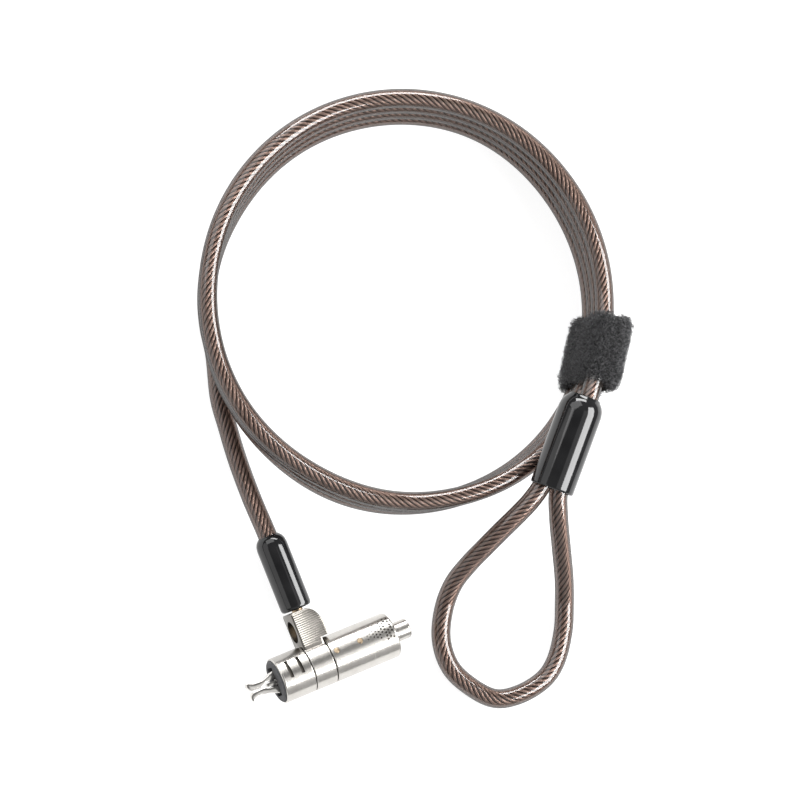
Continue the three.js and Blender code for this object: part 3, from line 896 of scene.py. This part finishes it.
def rear_shell(material, dark):
    profile = [
        (REAR_SHELL_START, BORE_R), (REAR_SHELL_START, BARREL_R - 0.14), (REAR_SHELL_START + 0.14, BARREL_R),
        (REAR_SHELL_END - 0.75, BARREL_R), (REAR_SHELL_END - 0.4, BARREL_R - 0.12),
        (REAR_SHELL_END - 0.12, BARREL_R - 0.4), (REAR_SHELL_END, BARREL_R - 0.75), (REAR_SHELL_END, 3.15),
        (34.8, 3.15), (34.8, BORE_R),
    ]
    shell = turned("rear_shell_skin", profile, along_x, material, 128, 0.12)
    holes = [rod_cutter(5, 8, 0.86, dowel_place(x)) for x in DOWEL_PLACES]
    shell = true_round(carve(shell, [*holes, dimple_cutters()]), BARREL_R)
    return darken(shell, dark, 27, REAR_SHELL_END - 0.8)


def dowel(name, x, material):
    profile = [(3.8, 0.2), (3.8, 0.8), (6.5, 0.8), (6.6, 0.7), (6.63, 0.2)]
    pin = turned(name, profile, dowel_place(x), material, 32, 0.05)
    centre = rod_cutter(3.8, 6.6, 0.26, dowel_place(x), 24)
    return carve(pin, [centre], "UNION")


HOOK_SECTIONS = [
    (4.3, 1.3, 2.7, 1.2), (2.6, 1.25, 3.1, 1.2), (0, 1.1, 3.3, 1.2), (-0.6, 0.96, 3.25, 1.2),
    (-1.4, 0.93, 3.0, 1.2),
    (-2.4, 0.9, 2.5, 1.2), (-3.4, 0.86, 2.15, 1.2), (-3.9, 0.6, 2.05, 1.2), (-4.4, 0.24, 1.98, 1.2),
    (-5, 0.13, 1.95, 1.2),
    (-6.2, 0.16, 2.0, 1.2), (-7.2, 0.2, 2.2, 1.22), (-8, 0.26, 2.55, 1.26), (-8.5, 0.5, 2.75, 1.28),
    (-8.85, 0.95, 2.72, 1.26),
    (-9.08, 1.45, 2.35, 1.1),
]


def hook(name, sign, material):
    """One cast finger: thick at its pivot, hollowed for the spreader, flared at the foot, no pin hole."""
    rings = []
    for x, low, high, half in HOOK_SECTIONS:
        soft = min(0.32, (high - low) * 0.3)
        section = []
        corners = ((high, half, 0), (low, half, 1), (low, -half, 2), (high, -half, 3))
        for y_corner, z_corner, quarter in corners:
            centre_y = y_corner - math.copysign(soft, y_corner - (low + high) / 2)
            centre_z = z_corner - math.copysign(soft, z_corner)
            for step in range(4):
                angle = math.pi / 2 * (quarter + step / 3)
                y = centre_y + soft * math.cos(angle)
                section.append(head_point(x, sign * y, centre_z + soft * math.sin(angle)))
        rings.append(section)
    return add_object(name, *loft(rings), material, 35)


def spreader(material):
    """The wedge that shows between the hooks, and the rod that drives it."""
    rod = rod_cutter(-0.4, 15.7, 1.0, along_x, 40)
    blade = [(0.6, 0.55), (-2.3, 0.55), (-3.1, 0.42), (-3.3, 0.28)]
    blade = blade + [(x, -y) for x, y in reversed(blade)]
    wedge = add_object("spreader_skin", *prism(blade, -0.9, 0.9, head_point), material)
    slim_high = box_cutter((-2, 0.65, -2), (6, 2, 2))
    slim_low = box_cutter((-2, -2, -2), (6, -0.65, 2))
    carve(rod, [slim_high, slim_low])
    return carve(wedge, [rod], "UNION", edge=0.08)


def lock_cylinder(material):
    profile = [
        (13.5, 0.4), (13.5, PLUNGER_R), (PLUNGER_END - 0.45, PLUNGER_R), (PLUNGER_END - 0.1, PLUNGER_R - 0.3),
        (PLUNGER_END, PLUNGER_R - 0.55), (PLUNGER_END, 1.85), (22, 1.85), (22, 0.4),
    ]
    body = turned("lock_cylinder_skin", profile, along_x, material, 96, 0.1)
    core = rod_cutter(13.5, 22, 0.5, along_x)
    return true_round(carve(body, [core], "UNION"), PLUNGER_R)


def key_plug(material):
    tip = PLUNGER_END - 0.2
    profile = [(22.3, 0.3), (22.3, 1.7), (PLUNGER_END - 0.35, 1.7), (tip, 1.5), (tip, 0.3)]
    plug = turned("key_plug_skin", profile, along_x, material, 64, 0.06)
    core = rod_cutter(22.3, PLUNGER_END - 0.2, 0.5, along_x, 24)
    carve(plug, [core], "UNION")
    keyway = box_cutter((30, -0.3, -1.1), (PLUNGER_END + 1, 0.3, 1.1))
    ward = box_cutter((30, -0.3, 0.2), (PLUNGER_END + 1, 0.62, 0.55))
    return carve(plug, [keyway, ward], edge=0.03)


def cable_stud(material):
    place = tube_place(head_point(STUD_X, 0, 0), Vector((0, 1, 0)))
    profile = [(9.7, 0.3), (9.7, 2.3), (10, 2.6), (11.9, 2.6), (12.4, 2.2), (12.8, 1.6), (24, 1.6), (24, 0.3)]
    stud = turned("cable_stud_skin", profile, place, material, 64, 0.12)
    core = rod_cutter(9.7, 24, 0.5, place, 24)
    return carve(stud, [core], "UNION")


# ---------------------------------------------------------------- strap


STRAP_LENGTH = 19.6
STRAP_HALF_WIDTH = 5.5
STRAP_LOW, STRAP_HIGH = 0.5, 28.2


def strap_frame():
    place = coil_point(STRAP_ANGLE + 2, 1.5)
    angle = math.radians(STRAP_ANGLE + 2)
    outward = Vector((math.cos(angle), math.sin(angle), 0))
    run = Vector((-math.sin(angle), math.cos(angle), 0))
    return Vector((place.x, place.y, 0)), outward, run


def strap_outline(count):
    """Points round the strap's middle line, with their outward directions: a tall rounded loop."""
    middle = (STRAP_LOW + STRAP_HIGH) / 2
    half_high = (STRAP_HIGH - STRAP_LOW) / 2
    points = []
    for i in range(count):
        angle = 2 * math.pi * i / count
        c, s = math.cos(angle), math.sin(angle)
        x = math.copysign(abs(c) ** 0.55, c) * (STRAP_HALF_WIDTH - 0.75)
        z = middle + math.copysign(abs(s) ** 0.55, s) * (half_high - 0.75)
        points.append(Vector((x, 0, z)))
    normals = []
    for i in range(count):
        way = points[(i + 1) % count] - points[i - 1]
        normals.append(Vector((way.z, 0, -way.x)).normalized())
    return points, normals


def make_strap(cloth, fibre):
    origin, outward, run = strap_frame()
    around = 150
    profile_steps = 34
    points, normals = strap_outline(around)
    rings = []
    surface = []
    for i in range(around):
        share = i / around
        overlap = 0.55 * smooth_step((share - 0.02) / 0.015) * (1 - smooth_step((share - 0.62) / 0.02))
        at_floor = smooth_step((4.0 - points[i].z) / 3.0)
        half_thick = (0.75 + overlap * 0.45) * (1 - 0.45 * at_floor)
        ring = []
        for j in range(profile_steps):
            angle = 2 * math.pi * j / profile_steps
            c, s = math.cos(angle), math.sin(angle)
            share_along = 1 - 2 * abs(1 - j / (profile_steps / 2))
            y = -share_along * STRAP_LENGTH / 2
            plump = max(0.0, 1 - abs(share_along) ** 6) ** 0.5
            lift = math.copysign(plump, s) * half_thick
            y += 0.35 * noise.noise(Vector((share * 40, 3.1, c * 2)))
            local = points[i] + normals[i] * (lift + overlap * 0.35)
            if s > 0:
                bump = noise.noise(Vector((local.x * 0.9, y * 0.9, local.z * 0.9)))
                local += normals[i] * (0.28 * bump * (1 - at_floor))
            world = origin + (outward * local.x + run * y) * MM + Vector((0, 0, max(local.z, 0.1) * MM))
            ring.append(world)
            if s > -0.05 and at_floor < 0.9:
                way = normals[i] * max(plump, 0.25) + Vector((0, c, 0)) * (abs(c) > 0.9)
                surface.append((world, (outward * way.x + run * way.y + Vector((0, 0, way.z))).normalized()))
        rings.append(ring)
    verts = [point for ring in rings for point in ring]
    faces = []
    for i in range(around):
        for j in range(profile_steps):
            a, b = (i + 1) % around, (j + 1) % profile_steps
            here, ahead = i * profile_steps, a * profile_steps
            faces.append((here + j, here + b, ahead + b, ahead + j))
    band = add_object("strap_band", verts, faces, cloth, 70)
    return band, make_pile(surface, fibre)


def make_pile(surface, material):
    """Fine curled fibres that stand out of the strap's face and edges."""
    verts = []
    faces = []
    fibres = 9000
    for _ in range(fibres):
        root, out = surface[random.randrange(len(surface))]
        jitter = Vector((random.uniform(-1, 1), random.uniform(-1, 1), random.uniform(-1, 1)))
        root = root + jitter * 0.0005
        lying = out.cross(Vector((random.gauss(0, 1), random.gauss(0, 1), random.gauss(0, 1)))).normalized()
        reach = random.uniform(0.5, 1.25) * MM
        rise = random.uniform(0.15, 0.75) * MM
        curl = random.uniform(1.6, 3.4)
        thick = random.uniform(0.035, 0.06) * MM
        first = len(verts)
        segments = 4
        for s in range(segments + 1):
            t = s / segments
            centre = (
                root
                + lying * (reach * math.sin(curl * t))
                + out * (rise * math.sin(math.pi * t) + 0.0001)
            )
            centre += out.cross(lying) * (reach * 0.5 * (1 - math.cos(curl * t)))
            way = out.cross(lying)
            for corner in range(3):
                a = 2 * math.pi * corner / 3
                point = centre + (out * math.cos(a) + way * math.sin(a)) * thick
                point.z = max(point.z, 0.00005)
                verts.append(point)
        for s in range(segments):
            for corner in range(3):
                n = (corner + 1) % 3
                base = first + 3 * s
                faces.append((base + corner, base + n, base + 3 + n, base + 3 + corner))
        faces.append((first, first + 1, first + 2))
        end = first + 3 * segments
        faces.append((end + 2, end + 1, end))
    mesh = bpy.data.meshes.new("strap_pile")
    mesh.from_pydata(verts, [], faces)
    mesh.shade_smooth()
    mesh.materials.append(material)
    pile = bpy.data.objects.new("strap_pile", mesh)
    bpy.context.scene.collection.objects.link(pile)
    return pile


# ---------------------------------------------------------------- the whole object

make_camera()

satin = plated_metal("satin_nickel", (0.56, 0.54, 0.51), (0.5, 0.48, 0.45), (0.2, 0.28), (3600, 60, 60), 0.04)
bright = plated_metal(
    "bright_nickel", (0.72, 0.7, 0.67), (0.62, 0.6, 0.57), (0.1, 0.18), (500, 500, 500), 0.06
)
# painted shade: a dark copy of the nickel for the barrel's slots and dimples
painted_recess_shade = plated_metal(
    "barrel_recess_shade", (0.15, 0.14, 0.125), (0.07, 0.063, 0.056), (0.35, 0.5), (1400, 1400, 1400), 0.1
)
# painted shade: a darker copy of the nickel for the lug's faces
cast = plated_metal(
    "shaded_cast_nickel", (0.25, 0.235, 0.215), (0.17, 0.16, 0.145), (0.26, 0.38), (1400, 1400, 1400), 0.2
)
steel = plated_metal("bare_steel", (0.5, 0.5, 0.51), (0.36, 0.36, 0.37), (0.25, 0.4), (900, 900, 900), 0.2)
brass = brass_metal()
pad = pad_rubber()
black = gloss_black()
alloy = dull_alloy()

jacket, rope, route, cable_length = make_cable(clear_jacket(), rope_metal())
finish_piece(jacket, "cable", "cable_jacket", "cable_tail", "cable_coil", "cable_lead", "cable_loop")
finish_piece(rope, "cable", "cable_jacket")

band, pile = make_strap(fleece_cloth(), fleece_fibre())
finish_piece(band, "cable", "strap_fleece", "strap")
finish_piece(pile, "cable", "strap_fleece")

loop_cover = finish_piece(loop_sleeve(black), "cable", "black_sleeve", "loop_sleeve")
end_cover = finish_piece(end_sleeve(black), "cable", "black_sleeve", "end_sleeve")
stud = finish_piece(cable_stud(brass), "cable", "brass", "cable_stud")

finish_piece(front_shell(satin, painted_recess_shade), "barrel", "satin_nickel", "front_shell")
finish_piece(nose_pad(pad), "barrel", "grey_pad", "nose_pad")
finish_piece(rear_shell(satin, painted_recess_shade), "barrel", "satin_nickel", "rear_shell")
finish_piece(dowel("dowel_front_skin", DOWEL_PLACES[0], brass), "barrel", "brass", "dowel_pin_front")
finish_piece(dowel("dowel_rear_skin", DOWEL_PLACES[1], brass), "barrel", "brass", "dowel_pin_rear")
finish_piece(swivel_band_and_lug(cast, satin), "ring", "satin_nickel", "swivel_ring")
finish_piece(hook("hook_left_skin", 1, bright), "hook_left", "polished_nickel", "hook_left")
finish_piece(hook("hook_right_skin", -1, bright), "hook_right", "polished_nickel", "hook_right")
finish_piece(spreader(bright), "plunger", "polished_nickel", "spreader")
finish_piece(lock_cylinder(satin), "plunger", "polished_nickel", "lock_cylinder")
finish_piece(key_plug(brass), "key_plug", "brass", "key_plug")

CAD_FINISHES = {
    "core_sleeve": steel,
    "hook_pin_left": steel,
    "hook_pin_right": steel,
    "return_spring": steel,
    "end_ferrule": alloy,
    "loop_ferrule": alloy,
}
for i in range(1, 5):
    CAD_FINISHES[f"key_pin_{i}"] = brass
    CAD_FINISHES[f"driver_pin_{i}"] = steel
for node, material in CAD_FINISHES.items():
    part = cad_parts[node]
    part.data.materials.clear()
    part.data.materials.append(material)

[tuple(p) for p in route]

make_studio()
